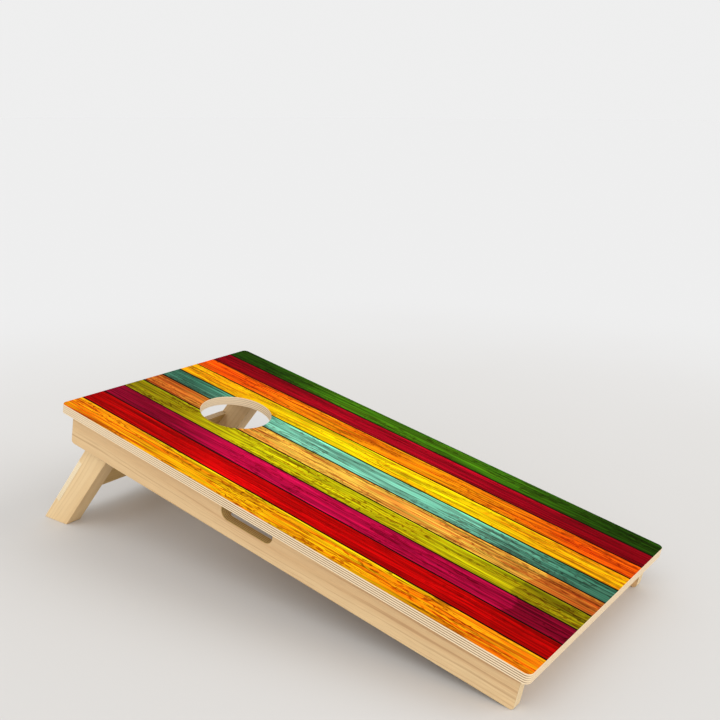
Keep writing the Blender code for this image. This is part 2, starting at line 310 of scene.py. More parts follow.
def veneer_face(name, pale, warm, line):
    """The face veneer: long streaks, thin growth lines, fibres and short pores."""
    g = Graph(name)
    place = g.attribute("grain_space")
    wander = g.noise(g.stretch(place, (1.6, 6.0, 1.0)), detail=3.0)
    x, y, z = g.split(place)
    bent = g.join(x, g.math("MULTIPLY_ADD", wander, 0.03, y), z)
    broad = g.noise(g.stretch(bent, (1.1, 26.0, 1.0)), detail=3.0)
    tone = g.mix(g.map(broad, 0.32, 0.68), pale, warm)
    bands = g.noise(g.stretch(bent, (1.6, 150.0, 1.0), (3, 7, 0)), detail=5.0, roughness=0.62)
    lines = g.map(bands, 0.5, 0.66, smooth=True)
    fibres = g.noise(g.stretch(place, (26.0, 950.0, 60.0)), detail=3.0, roughness=0.65)
    pores = g.noise(g.stretch(place, (70.0, 2100.0, 60.0), (5, 2, 0)), detail=1.0)
    specks = g.map(pores, 0.66, 0.76)
    tone = g.mix(g.math("MULTIPLY", lines, 0.75), tone, line)
    tone = g.scaled(tone, g.map(fibres, 0.3, 0.7, 0.9, 1.06))
    tone = g.mix(g.math("MULTIPLY", specks, 0.28), tone, line)
    rough = g.map(bands, 0.3, 0.7, 0.5, 0.64)
    relief = g.math("SUBTRACT", fibres, g.math("MULTIPLY", specks, 0.6))
    return g.finish(tone, rough, relief, 0.05 * MM, Specular_IOR_Level=0.35)


def layered_edge(name, long_grain, end_grain, glue, fading=None):
    """The cut edge of plywood. The narrow layers are dark lines on an edge that runs with the face grain,
    and fade on one that cuts across it, where the wide layers darken a little instead. fading is the
    stretch along the grain over which the dark lines grow faint."""
    g = Graph(name)
    place = g.attribute("grain_space")
    depth = g.attribute("layer_depth", "Fac")
    cut_across = g.attribute("end_grain", "Fac")
    x, y, z = g.split(place)
    wave = g.noise(g.stretch(place, (9.0, 9.0, 3.0)), detail=2.0)
    waved = g.math("ADD", depth, g.map(wave, 0.2, 0.8, -0.03, 0.03))
    phase = g.math("FRACT", waved)
    narrow = g.map(phase, WIDE_SHARE - 0.03, WIDE_SHARE + 0.03, smooth=True)
    layer = g.math("FLOOR", waved)
    turned_edge = g.map(cut_across, 0.3, 0.95)
    own_share = g.math("MULTIPLY", narrow, g.math("MULTIPLY_ADD", turned_edge, -0.68, 1.0))
    other_share = g.math("MULTIPLY", g.math("SUBTRACT", 1.0, narrow), g.math("MULTIPLY", turned_edge, 0.08))
    dark = g.math("ADD", own_share, other_share)
    if fading:
        strength = g.map(x, fading[0], fading[1], 1.0, 0.38)
        spread_out = g.math("MULTIPLY_ADD", strength, -0.16, 0.16)
        dark = g.math("ADD", g.math("MULTIPLY", dark, strength), spread_out)

    along = g.math("ADD", x, y)
    by_layer = g.math("MULTIPLY", layer, 3.7)
    streaks = g.noise(
        g.join(g.math("MULTIPLY", along, 30.0), by_layer, g.math("MULTIPLY", z, 900.0)),
        detail=3.0, roughness=0.6,
    )
    fleck = g.noise(g.stretch(place, (1500.0, 1500.0, 1500.0)), detail=1.0)
    own_layer = g.math("MULTIPLY", layer, 5.3)
    each = g.noise(g.join(g.math("MULTIPLY", along, 0.9), own_layer, narrow), detail=1.0)
    pale = g.scaled(long_grain, g.map(streaks, 0.25, 0.75, 0.9, 1.06))
    deep = g.scaled(end_grain, g.map(fleck, 0.3, 0.7, 0.72, 1.18))
    tone = g.mix(g.math("MULTIPLY", dark, g.map(each, 0.3, 0.7, 0.82, 1.0)), pale, deep)

    half_on = g.math("FRACT", g.math("ADD", waved, 0.5))
    near_start = g.math("ABSOLUTE", g.math("SUBTRACT", half_on, 0.5))
    near_change = g.math("ABSOLUTE", g.math("SUBTRACT", phase, WIDE_SHARE))
    seam = g.map(g.math("MINIMUM", near_start, near_change), 0.02, 0.06, 1.0, 0.0)
    tone = g.mix(g.math("MULTIPLY", seam, 0.4), tone, glue)
    gaps = g.noise(g.join(g.math("MULTIPLY", along, 22.0), g.math("MULTIPLY", layer, 9.1)), detail=0.0)
    void = g.math("MULTIPLY", g.map(gaps, 0.8, 0.82), narrow)
    tone = g.mix(g.math("MULTIPLY", void, 0.75), tone, glue)
    rough = g.map(dark, 0.0, 1.0, 0.55, 0.72)
    relief = g.math("SUBTRACT", streaks, g.math("MULTIPLY", dark, 0.5))
    return g.finish(tone, rough, relief, 0.06 * MM, Specular_IOR_Level=0.3)


def solid_wood(name, pale, warm, line):
    """Straight-grained softwood: rings round a pith outside the piece show as lines, and as arcs on ends."""
    g = Graph(name)
    place = g.attribute("grain_space")
    x, y, z = g.split(place)
    drift = g.noise(g.stretch(place, (1.8, 9.0, 9.0)), detail=3.0)
    from_pith = g.join(0.0, g.math("ADD", y, 0.055), g.math("ADD", z, 0.075))
    length = g.add("ShaderNodeVectorMath", operation="LENGTH")
    g.feed(length.inputs[0], from_pith)
    radius = g.math("MULTIPLY_ADD", drift, 0.016, length.outputs["Value"])
    ring = g.math("FRACT", g.math("MULTIPLY", radius, 235.0))
    late = g.math("MULTIPLY", g.map(ring, 0.45, 0.9, smooth=True), g.map(ring, 0.93, 1.0, 1.0, 0.0))
    strength = g.noise(g.join(g.math("MULTIPLY", x, 1.2), g.math("MULTIPLY", radius, 90.0)), detail=2.0)
    late = g.math("MULTIPLY", late, g.map(strength, 0.3, 0.7, 0.1, 0.45))
    broad = g.noise(g.stretch(place, (1.5, 22.0, 22.0)), detail=2.0)
    fibres = g.noise(g.stretch(place, (24.0, 1000.0, 1000.0)), detail=3.0, roughness=0.65)
    tone = g.mix(g.map(broad, 0.3, 0.7), pale, warm)
    tone = g.mix(late, tone, line)
    tone = g.scaled(tone, g.map(fibres, 0.25, 0.75, 0.93, 1.05))
    ends = g.attribute("end_grain", "Fac")
    tone = g.scaled(tone, g.map(ends, 0.5, 0.95, 1.0, 0.74))
    rough = g.map(late, 0.0, 1.0, 0.6, 0.48)
    relief = g.math("ADD", fibres, g.math("MULTIPLY", late, 0.8))
    return g.finish(tone, rough, relief, 0.06 * MM, Specular_IOR_Level=0.35)


# A printed plank: its colour in the middle of the board and towards the ends, how strong its dark figure
# is, how far its hue drifts between streaks, and how bright its one edge is
Plank = namedtuple("Plank", "middle end figure hue_drift edge_shine")
PLANKS = (
    Plank(srgb(226, 156, 6), srgb(224, 126, 8), 1.0, 1.0, 1.0),
    Plank(srgb(176, 4, 4), srgb(154, 4, 3), 0.45, 0.2, 0.2),
    Plank(srgb(172, 9, 59), srgb(118, 6, 33), 0.8, 0.3, 0.3),
    Plank(srgb(184, 172, 6), srgb(132, 118, 6), 0.95, 0.25, 0.4),
    Plank(srgb(216, 157, 57), srgb(184, 97, 31), 0.8, 0.8, 0.3),
    Plank(srgb(114, 187, 159), srgb(57, 104, 83), 0.8, 0.25, 0.45),
    Plank(srgb(232, 196, 4), srgb(226, 155, 6), 0.6, 0.5, 0.4),
    Plank(srgb(226, 127, 6), srgb(218, 77, 4), 0.8, 0.7, 0.3),
    Plank(srgb(162, 6, 28), srgb(124, 4, 16), 0.6, 0.3, 0.2),
    Plank(srgb(60, 106, 11), srgb(31, 62, 6), 0.8, 0.4, 0.3),
)
PLANK_WIDTH = DECK_WIDTH / len(PLANKS)
PLANK_GAP = srgb(16, 8, 5)


def printed_planks(name):
    """The print on the playing face: coloured planks with dark gaps, pinstripe grain and curly figure."""
    g = Graph(name)
    place = g.attribute("grain_space")
    x, y = g.split(place)[:2]
    across = g.math("DIVIDE", g.math("SUBTRACT", DECK_WIDTH / 2, y), PLANK_WIDTH)
    index = g.math("FLOOR", across)
    share = g.math("FRACT", across)
    choice = g.math("DIVIDE", g.math("ADD", index, 0.5), len(PLANKS))

    def by_plank(values):
        stops = [(step / len(PLANKS), value) for step, value in enumerate(values)]
        return g.ramp(choice, stops, "CONSTANT")

    middle = by_plank([plank.middle for plank in PLANKS])
    end = by_plank([plank.end for plank in PLANKS])
    figured = by_plank([(plank.figure,) * 3 for plank in PLANKS])
    hue_drift = by_plank([(plank.hue_drift,) * 3 for plank in PLANKS])
    edge_shine = by_plank([(plank.edge_shine,) * 3 for plank in PLANKS])

    # Each plank's own patch of noise, and its colour, which darkens towards both ends. Four planks keep
    # their colour longer at the low end, and then change at a border.
    own_x = g.math("ADD", x, g.math("MULTIPLY", index, 3.17))
    own_z = g.math("MULTIPLY", index, 1.31)
    own = g.join(own_x, y, own_z)
    cloud = g.noise(g.stretch(own, (3.0, 14.0, 1.0)), detail=3.0)
    reach = g.math("MULTIPLY_ADD", cloud, 0.16, g.math("ABSOLUTE", x))
    middle_planks = g.math("COMPARE", across, 3.0, 2.0)
    border = g.math("MULTIPLY_ADD", cloud, 0.12, x)
    past_border = g.math("MULTIPLY", g.map(border, -0.413, -0.419), middle_planks)
    before = g.math("MULTIPLY", g.map(x, 0.0, -0.1), g.math("SUBTRACT", middle_planks, past_border))
    darkening = g.map(reach, 0.24, 0.60, smooth=True)
    darkening = g.math("MULTIPLY", darkening, g.math("MULTIPLY_ADD", before, -0.55, 1.0))
    tone = g.mix(darkening, middle, end)

    # Long streaks, fine hairs and broad swells of light and dark, and streaks of a warmer or cooler hue
    bend = g.noise(g.stretch(own, (5.0, 18.0, 1.0), (2, 4, 0)), detail=3.0)
    bent = g.join(own_x, g.math("MULTIPLY_ADD", bend, 0.011, y), own_z)
    stripes = g.noise(g.stretch(bent, (1.6, 120.0, 1.0)), detail=3.0, roughness=0.6)
    hair = g.noise(g.stretch(bent, (7.0, 280.0, 1.0), (1, 5, 0)), detail=2.0, roughness=0.5)
    swell = g.noise(g.stretch(bent, (3.5, 60.0, 1.0), (6, 1, 0)), detail=3.0)
    light = g.map(stripes, 0.36, 0.64, 0.7, 1.24)
    light = g.math("MULTIPLY", light, g.map(hair, 0.36, 0.64, 0.58, 1.36))
    light = g.math("MULTIPLY", light, g.map(swell, 0.34, 0.66, 0.84, 1.12))
    tone = g.scaled(tone, light)
    drift = g.noise(g.stretch(bent, (5.0, 120.0, 1.0), (7, 7, 0)), detail=3.0, roughness=0.6)
    warmer = g.mix(1.0, tone, (1.0, 0.56, 0.55), "MULTIPLY")
    cooler = g.mix(1.0, tone, (1.04, 1.34, 1.25), "MULTIPLY")
    tone = g.mix(g.math("MULTIPLY", g.map(drift, 0.5, 0.6), hue_drift), tone, warmer)
    tone = g.mix(g.math("MULTIPLY", g.map(drift, 0.5, 0.4), hue_drift), tone, cooler)

    # Dark figure in patches: broken contour lines round knots, and short dashes
    patches = g.noise(g.stretch(own, (4.2, 26.0, 1.0), (4, 9, 0)), detail=3.0)
    patchy = g.map(patches, 0.45, 0.51, smooth=True)
    wobble = g.noise(g.stretch(own, (30.0, 90.0, 1.0), (8, 3, 0)), detail=2.0)
    curled_y = g.math("MULTIPLY_ADD", wobble, 0.012, g.math("MULTIPLY_ADD", bend, 0.03, y))
    curled = g.join(own_x, curled_y, own_z)
    field = g.noise(g.stretch(curled, (18.0, 75.0, 1.0)), detail=2.0, roughness=0.45)
    contour = g.math("FRACT", g.math("MULTIPLY", field, 6.0))
    line = g.map(g.math("ABSOLUTE", g.math("SUBTRACT", contour, 0.5)), 0.12, 0.21, 1.0, 0.0)
    broken = g.noise(g.stretch(bent, (45.0, 260.0, 1.0), (9, 2, 0)), detail=1.0)
    scribble = g.math("MULTIPLY", g.math("MULTIPLY", line, patchy), g.map(broken, 0.42, 0.5))
    dashes = g.noise(g.stretch(bent, (14.0, 210.0, 1.0), (3, 3, 0)), detail=4.0, roughness=0.6)
    limit = g.math("ADD", dashes, g.map(patches, 0.42, 0.62, -0.02, 0.04))
    dashed = g.map(limit, 0.57, 0.625)
    marks = g.math("MULTIPLY", g.math("MAXIMUM", scribble, dashed), figured)
    shade = g.mix(1.0, tone, (0.4, 0.19, 0.18), "MULTIPLY")
    tone = g.mix(g.math("MULTIPLY", marks, 0.9), tone, shade)
    tone = g.scaled(tone, g.math("MULTIPLY_ADD", past_border, -0.05, 1.0))

    # A bright line near one edge of each plank, and the dark gap between planks
    rim = g.math("MULTIPLY", g.map(share, 0.88, 0.91, smooth=True), g.map(share, 0.95, 0.965, 1.0, 0.0))
    rim = g.math("MULTIPLY", rim, g.math("MULTIPLY", edge_shine, g.map(cloud, 0.35, 0.6, 0.75, 1.0)))
    tone = g.mix(rim, tone, g.mix(1.0, tone, (1.2, 2.1, 1.6), "MULTIPLY"))
    to_gap = g.math("MINIMUM", share, g.math("SUBTRACT", 1.0, share))
    gap = g.map(to_gap, 0.028, 0.044, 1.0, 0.0, smooth=True)
    inside = g.map(g.math("ABSOLUTE", y), DECK_WIDTH / 2 - 4 * MM, DECK_WIDTH / 2 - 2 * MM, 1.0, 0.0)
    tone = g.mix(g.math("MULTIPLY", gap, inside), tone, PLANK_GAP)
    rough = g.map(hair, 0.3, 0.7, 0.5, 0.6)
    peel = g.noise(g.stretch(place, (420.0, 420.0, 420.0)), detail=2.0)
    return g.finish(tone, rough, peel, 0.02 * MM, Specular_IOR_Level=0.004)


def film_edge(name):
    """The cut edge and the back of the printed film."""
    g = Graph(name)
    mottle = g.noise(g.stretch(g.attribute("grain_space"), (90.0, 90.0, 90.0)), detail=3.0)
    tone = g.ramp(mottle, ((0.3, srgb(214, 190, 150)), (0.7, srgb(232, 212, 176))))
    return g.finish(tone, g.map(mottle, 0.3, 0.7, 0.4, 0.55), mottle, 0.02 * MM)


def metal(name, dark, bright, roughness):
    """Plated metal: cloudy plating, fine scratches and duller patches."""
    g = Graph(name)
    place = g.attribute("grain_space")
    cloud = g.noise(g.stretch(place, (260.0, 260.0, 260.0)), detail=4.0)
    scratches = g.noise(g.stretch(place, (900.0, 90.0, 90.0)), detail=3.0, roughness=0.7)
    plating = g.math("MULTIPLY_ADD", scratches, 0.3, g.math("MULTIPLY", cloud, 0.7))
    tone = g.ramp(plating, ((0.3, dark), (0.65, bright)))
    dull = g.map(cloud, 0.3, 0.7, roughness - 0.06, roughness + 0.1)
    rough = g.math("ADD", dull, g.map(scratches, 0.4, 0.7, 0.0, 0.08))
    return g.finish(tone, rough, scratches, 0.015 * MM, Metallic=1.0)


def nylon(name):
    """Natural nylon: a milky washer with a faint moulded texture."""
    g = Graph(name)
    place = g.attribute("grain_space")
    mottle = g.noise(g.stretch(place, (420.0, 420.0, 420.0)), detail=3.0)
    fine = g.noise(g.stretch(place, (2600.0, 2600.0, 2600.0)), detail=2.0)
    tone = g.ramp(mottle, ((0.3, srgb(224, 219, 204)), (0.7, srgb(238, 234, 222))))
    return g.finish(tone, g.map(fine, 0.3, 0.7, 0.38, 0.52), fine, 0.02 * MM, Specular_IOR_Level=0.45)


def studio_floor(name):
    """A plain pale floor that grows a little lighter away from the board. Near the board it is a little
    warmer, a painted warm bounce of light from the wood.
    """
    g = Graph(name)
    place = g.add("ShaderNodeTexCoord").outputs["Object"]
    length = g.add("ShaderNodeVectorMath", operation="LENGTH")
    g.feed(length.inputs[0], place)
    cloud = g.noise(g.stretch(place, (1.3, 1.3, 1.3)), detail=2.0)
    away = g.math("MULTIPLY_ADD", cloud, 0.4, length.outputs["Value"])
    # The near tone is slightly warm: painted warm bounce light from the wood.
    tone = g.mix(g.map(away, 0.9, 3.2, smooth=True), (0.605, 0.592, 0.575), (0.6775, 0.6775, 0.6775))
    return g.finish(tone, 0.8, Specular_IOR_Level=0.0)


# --------------------------------------------------------------------------------------------------
# Shapes


def fillet(before, corner, after, radius, segments):
    """Points of the arc that rounds one corner of an outline."""
    if radius == 0:
        return [corner]
    into = (before - corner).normalized()
    out = (after - corner).normalized()
    half = into.angle(out) / 2
    centre = corner + (into + out).normalized() * radius / math.sin(half)
    first = corner + into * radius / math.tan(half) - centre
    last = corner + out * radius / math.tan(half) - centre
    sweep = first.angle(last)
    points = []
    for step in range(segments + 1):
        share = step / segments
        blend = first * math.sin((1 - share) * sweep) + last * math.sin(share * sweep)
        points.append(centre + blend / math.sin(sweep))
    return points


def rounded_outline(corners, segments=8):
    """A closed outline from (a, b, radius) corners."""
    spots = [Vector(corner[:2]) for corner in corners]
    points = []
    for index, corner in enumerate(corners):
        after = spots[(index + 1) % len(spots)]
        points += fillet(spots[index - 1], spots[index], after, corner[2], segments)
    return points


def rectangle(x, y, low_y, radius):
    return rounded_outline(((-x, low_y, radius), (x, low_y, radius), (x, y, radius), (-x, y, radius)), 4)


def circle(centre, radius, segments):
    x, y = centre
    turns = [math.tau * step / segments for step in range(segments)]
    return [Vector((x + radius * math.cos(turn), y + radius * math.sin(turn))) for turn in turns]


def signed_area(points):
    pairs = zip(points, points[1:] + points[:1])
    return sum(a.x * b.y - b.x * a.y for a, b in pairs) / 2


def wound(points, positive):
    return points if (signed_area(points) > 0) == positive else points[::-1]


def inset(points, distance):
    """The outline moved to its left by a distance, with mitred corners."""
    moved = []
    for index, point in enumerate(points):
        before = (point - points[index - 1]).normalized()
        after = (points[(index + 1) % len(points)] - point).normalized()
        left = Vector((-before.y - after.y, before.x + after.x)).normalized()
        reach = max(0.35, left.dot(Vector((-before.y, before.x))))
        moved.append(point + left * distance / reach)
    return moved


def eased_levels(low, high, easing, steps=3):
    """(height, inset) pairs of a straight side with both edges rounded."""
    levels = []
    for step in range(steps + 1):
        turn = math.pi / 2 * step / steps
        levels.append((low + easing * (1 - math.sin(turn)), easing * (1 - math.cos(turn))))
    rounded = sorted(levels)
    return rounded + [(low + high - height, depth) for height, depth in reversed(rounded)]


def ply_levels(low, high, easing, pairs):
    """The eased side of a plywood panel, with a shallow groove at each glue line."""
    levels = eased_levels(low, high, easing)
    span = high - low
    for pair in range(pairs + 1):
        for place in (pair, pair + WIDE_SHARE):
            height = low + span * place / (pairs + WIDE_SHARE)
            if low + 2 * easing < height < high - 2 * easing:
                levels.append((height - 3 * GLUE_GROOVE, 0))
                levels.append((height, GLUE_GROOVE))
                levels.append((height + 3 * GLUE_GROOVE, 0))
    return sorted(levels)


def join_rings(bm, first, second):
    """Faces between two rings of points, or from a ring to a single point."""
    count = max(len(first), len(second))
    for step in range(count):
        after = (step + 1) % count
        corners = [first[step % len(first)], first[after % len(first)]]
        corners += [second[after % len(second)], second[step % len(second)]]
        bm.faces.new(list(dict.fromkeys(corners)))


def slab(outlines, levels):
    """A closed panel: the first outline is its rim, and the others are holes right through it."""
    bm = bmesh.new()
    lowest = []
    highest = []
    for number, outline in enumerate(outlines):
        points = wound(outline, number == 0)
        rings = []
        for height, depth in levels:
            rings.append([bm.verts.new((*spot, height)) for spot in inset(points, depth)])
        for first, second in zip(rings, rings[1:]):
            join_rings(bm, first, second)
        lowest.append(rings[0])
        highest.append(rings[-1])
    for rings in (lowest, highest):
        flat = [vert for ring in rings for vert in ring]
        for triangle in tessellate_polygon([[vert.co for vert in ring] for ring in rings]):
            bm.faces.new([flat[corner] for corner in triangle])
    return bm


def turned(rings):
    """A closed surface through rings of points. A ring of one point closes an end."""
    bm = bmesh.new()
    made = [[bm.verts.new(point) for point in ring] for ring in rings]
    for first, second in zip(made, made[1:]):
        join_rings(bm, first, second)
    if len(made[0]) > 1:
        join_rings(bm, made[-1], made[0])
    return bm


def lathe(profile, segments=48, radius_at=None):
    """Rings about the X axis from (radius, x) pairs. radius_at(radius, x, turn) can vary a ring."""
    rings = []
    for radius, x in profile:
        if radius == 0:
            rings.append([(x, 0, 0)])
            continue
        ring = []
        for step in range(segments):
            turn = math.tau * step / segments
            size = radius_at(radius, x, turn) if radius_at else radius
            ring.append((x, size * math.cos(turn), size * math.sin(turn)))
        rings.append(ring)
    return rings


def rod(radius, start, end):
    """A closed cylinder along X, for boring a hole."""
    return turned(lathe(((0, start), (radius, start), (radius, end), (0, end))))


def thread_depth(x, turn, pitch, depth):
    """How far a screw thread's flank is below its crest."""
    phase = (x / pitch - turn / math.tau) % 1.0
    return depth * abs(2 * phase - 1)


# --------------------------------------------------------------------------------------------------
# Pieces


def mesh_of(name, bm):
    bmesh.ops.recalc_face_normals(bm, faces=bm.faces)
    mesh = bpy.data.meshes.new(name)
    bm.to_mesh(mesh)
    bm.free()
    return mesh


def carve(mesh, cutters):
    """The mesh with each cutter's shape taken out of it."""
    body = bpy.data.objects.new("carved", mesh)
    bpy.context.scene.collection.objects.link(body)
    helpers = [body]
    for cutter in cutters:
        helper = bpy.data.objects.new("cutter", mesh_of("cutter", cutter))
        bpy.context.scene.collection.objects.link(helper)
        helpers.append(helper)
        modifier = body.modifiers.new("carve", "BOOLEAN")
        modifier.object = helper
        modifier.operation = "DIFFERENCE"
        modifier.solver = "EXACT"
    graph = bpy.context.evaluated_depsgraph_get()
    carved = bpy.data.meshes.new_from_object(body.evaluated_get(graph))
    carved.name = mesh.name
    for helper in helpers:
        bpy.data.objects.remove(helper, do_unlink=True)
    return carved


def points_of(mesh):
    spots = np.empty(len(mesh.vertices) * 3, np.float32)
    mesh.vertices.foreach_get("co", spots)
    return spots.reshape(-1, 3)


def store_space(mesh, shift=(0, 0, 0)):
    """Keeps, on the mesh, each point's place along and across the grain, and how much each face cuts
    across the grain."""
    place = mesh.attributes.new("grain_space", "FLOAT_VECTOR", "POINT")
    place.data.foreach_set("vector", (points_of(mesh) + np.array(shift, np.float32)).ravel())
    across = mesh.attributes.new("end_grain", "FLOAT", "FACE")
    normals = np.empty(len(mesh.polygons) * 3, np.float32)
    mesh.polygons.foreach_get("normal", normals)
    across.data.foreach_set("value", np.abs(normals.reshape(-1, 3)[:, 0]))


def store_layers(mesh, low, high, pairs):
    """Keeps, on a plywood mesh, how many pairs of layers lie under each point."""
    depth = mesh.attributes.new("layer_depth", "FLOAT", "POINT")
    share = (points_of(mesh)[:, 2] - low) / (high - low)
    depth.data.foreach_set("value", (share * (pairs + WIDE_SHARE)).astype(np.float32))


def use_materials(mesh, *materials):
    mesh.materials.clear()
    for material in materials:
        mesh.materials.append(material)


def shade(mesh, angle=WOOD_SHARP_ANGLE, flat_faces=False):
    """Smooth shading with sharp edges kept. flat_faces leaves a panel's two faces flat."""
    mesh.shade_smooth()
    mesh.set_sharp_from_angle(angle=math.radians(angle))
    if not flat_faces:
        return
    for polygon in mesh.polygons:
        if abs(polygon.normal[2]) > 0.9995:
            polygon.use_smooth = False


def place_piece(name, mesh, matrix, body, nodes):
    mesh.transform(matrix)
    piece = bpy.data.objects.new(name, mesh)
    bpy.context.scene.collection.objects.link(piece)
    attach(piece, body)
    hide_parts(*nodes)


def add_ply(node, outlines, side, matrix, body, materials, shift, cutters=(), in_painted_shade=None):
    """A plywood panel, with face veneer on its two flats and layers on every cut edge. side is the heights
    of its two faces, the easing of its edges and its number of layer pairs. The last argument says which
    places on the edges take the third material, a darker edge with painted shade."""
    low, high, easing, pairs = side
    mesh = mesh_of(node + "_panel", slab(outlines, ply_levels(low, high, easing, pairs)))
    if cutters:
        mesh = carve(mesh, cutters)
    store_space(mesh, shift)
    store_layers(mesh, low, high, pairs)
    use_materials(mesh, *materials)
    for polygon in mesh.polygons:
        from_face = min(abs(polygon.center[2] - low), abs(polygon.center[2] - high))
        if abs(polygon.normal[2]) > 0.9 and from_face < FACE_TOLERANCE:
            polygon.material_index = 0
        # Places on the hand-hold's wall take the darker edge: painted shade of the recess.
        elif in_painted_shade and in_painted_shade(polygon.center):
            polygon.material_index = 2
        else:
            polygon.material_index = 1
    shade(mesh, flat_faces=True)
    place_piece(node + "_panel", mesh, matrix, body, [node])


def deck_outline(inset_by):
    x = DECK_LENGTH / 2 - inset_by
    y = DECK_WIDTH / 2 - inset_by
    r = DECK_CORNER - inset_by
    return rounded_outline(((-x, -y, r), (x, -y, r), (x, y, r), (-x, y, r)), 12)


def bag_hole(grow):
    return circle((BAG_HOLE_Y, 0), BAG_HOLE_RADIUS + grow, 128)


def make_deck(materials):
    side = (-DECK_DEPTH, -PRINT_DEPTH - JOINT, DECK_EASING, PANEL_PAIRS)
    add_ply(
        "deck", [deck_outline(0), bag_hole(0)], side, DECK @ DECK_AXES, "board",
        materials, (DECK_SHIFT, 4.1, 0),
    )


def make_print(ink, back):
    outlines = [deck_outline(PRINT_INSET), bag_hole(PRINT_INSET)]
    mesh = mesh_of("printed_face", slab(outlines, eased_levels(-PRINT_DEPTH, 0, PRINT_EASING, 2)))
    store_space(mesh)
    use_materials(mesh, ink, back)
    for polygon in mesh.polygons:
        polygon.material_index = 0 if polygon.normal[2] > 0.3 else 1
    shade(mesh, flat_faces=True)
    place_piece("printed_face", mesh, DECK @ DECK_AXES, "board", ["deck_print"])


def rail_outline():
    low = HAND_HOLD_Y - HAND_HOLD_HALF
    high = HAND_HOLD_Y + HAND_HOLD_HALF
    top = -DECK_DEPTH - JOINT
    corners = (
        (-RAIL_END, RAIL_BOTTOM, RAIL_CORNER),
        (RAIL_END, RAIL_BOTTOM, RAIL_CORNER),
        (RAIL_END, top, RAIL_ARRIS),
        (high, top, RAIL_ARRIS),
        (high, HAND_HOLD_BOTTOM, HAND_HOLD_CORNER),
        (low, HAND_HOLD_BOTTOM, HAND_HOLD_CORNER),
        (low, top, RAIL_ARRIS),
        (-RAIL_END, top, RAIL_ARRIS),
    )
    return rounded_outline(corners, 10)


def in_shaded_hand_hold(spot):
    """Whether a place on a side rail's edge, in the rail's own space, is on the hand-hold's wall, which
    takes the darker edge with painted shade.
    """
    return abs(spot.x - HAND_HOLD_Y) < HAND_HOLD_HALF + MM and spot.y > HAND_HOLD_BOTTOM - MM


def make_side_rail(side, sign, materials):
    low = min(sign * RAIL_OUTER_X, sign * RAIL_INNER_X)
    insert_hole = rod(INSERT_RADIUS + FIT, -INSERT_DEPTH - 2 * GAP, 5 * MM)
    outward = Matrix.Rotation(sign * math.pi / 2, 4, "Y")
    insert_hole.transform(Matrix.Translation((PIVOT_Y, PIVOT_Z, sign * RAIL_INNER_X)) @ outward)
    add_ply(
        "side_rail_" + side, [rail_outline()], (low, low + PLY, RAIL_EASING, PANEL_PAIRS),
        DECK @ SIDE_RAIL_AXES, "board", materials, (2.3 * sign, 2.2, 0),
        [insert_hole], in_shaded_hand_hold,
    )


def make_cross_rail(node, bottom, materials, shift):
    low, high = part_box(node)
    middle = DECK.inverted() @ ((low + high) / 2)
    side = (-middle.y - PLY / 2, -middle.y + PLY / 2, RAIL_EASING, PANEL_PAIRS)
    outline = rectangle(RAIL_INNER_X - JOINT, -DECK_DEPTH - JOINT, bottom, RAIL_EASING)
    add_ply(
        node, [outline], side, DECK @ CROSS_AXES, "board",
        materials, (shift, 2 * shift, 0),
    )


def leg_outline():
    """The sole, the seat that the brace is let into, and the round top."""
    step = LEG_HALF - BRACE_DEPTH - JOINT
    upper = BRACE_TOP + JOINT
    lower = BRACE_FOOT - JOINT
    corners = (
        (LEG_HEEL, -LEG_HALF, LEG_CORNER),
        (LEG_TIP, LEG_HALF, LEG_CORNER),
        (lower, LEG_HALF, 0),
        (lower, step, 0),
        (upper, step, 0),
        (upper, LEG_HALF, 0),
    )
    points = rounded_outline(corners, 5)
    for step in range(LEG_TOP_STEPS + 1):
        angle = math.pi * step / LEG_TOP_STEPS
        points.append(Vector((LEG_HALF * math.sin(angle), LEG_HALF * math.cos(angle))))
    return points


def screw_hole_profile():
    """(radius, x) pairs of a countersunk screw's hole, from above its head to past its point."""
    head = SCREW_HEAD + FIT
    shank = SCREW_SHANK + FIT
    return (
        (0, -6 * MM),
        (head, -6 * MM),
        (head, 0.4 * MM),
        (shank, 2.9 * MM),
        (shank, SCREW_LENGTH - 5 * MM),
        (0.4 * MM, SCREW_LENGTH + FIT),
        (0, SCREW_LENGTH + 2 * FIT),
    )


def screw_place(sign, rise):
    """A screw's own frame, with X down into the wood, as a place in the leg's frame."""
    spot = Matrix.Translation((sign * (LEG_OUTER_X + LEG_INNER_X) / 2, LEG_HALF - SCREW_SINK, rise))
    return spot @ Matrix.Rotation(-math.pi / 2, 4, "Z")


def screw_holes(signs, to_piece):
    holes = []
    for sign in signs:
        for rise in SCREW_RISES:
            hole = turned(lathe(screw_hole_profile(), 32))
            hole.transform(to_piece @ screw_place(sign, rise))
            holes.append(hole)
    return holes


def to_side(sign):
    """The turn that takes the right-hand side's hardware to either side."""
    return Matrix.Identity(4) if sign > 0 else Matrix.Rotation(math.pi, 4, "Z")


def make_leg(side, sign, wood):
    low = min(-sign * LEG_OUTER_X, -sign * LEG_INNER_X)
    levels = eased_levels(low, low + LEG_OUTER_X - LEG_INNER_X, LEG_EASING, 4)
    to_piece = LEG_AXES.inverted()
    bolt_hole = rod(BOLT_RADIUS + 0.1 * MM, BOLT_HOLE_START, BOLT_HOLE_END)
    bolt_hole.transform(to_piece @ to_side(sign))
    mesh = mesh_of("leg", slab([leg_outline()], levels))
    mesh = carve(mesh, [bolt_hole] + screw_holes([sign], to_piece))
    from_inside = 0 if sign > 0 else 30 * MM
    store_space(mesh, (sign * 1.9, 0, from_inside - low))
    use_materials(mesh, wood)
    shade(mesh, flat_faces=True)
    name = "leg_" + side
    place_piece(name + "_beam", mesh, LEG @ LEG_AXES, "leg_set", [name])


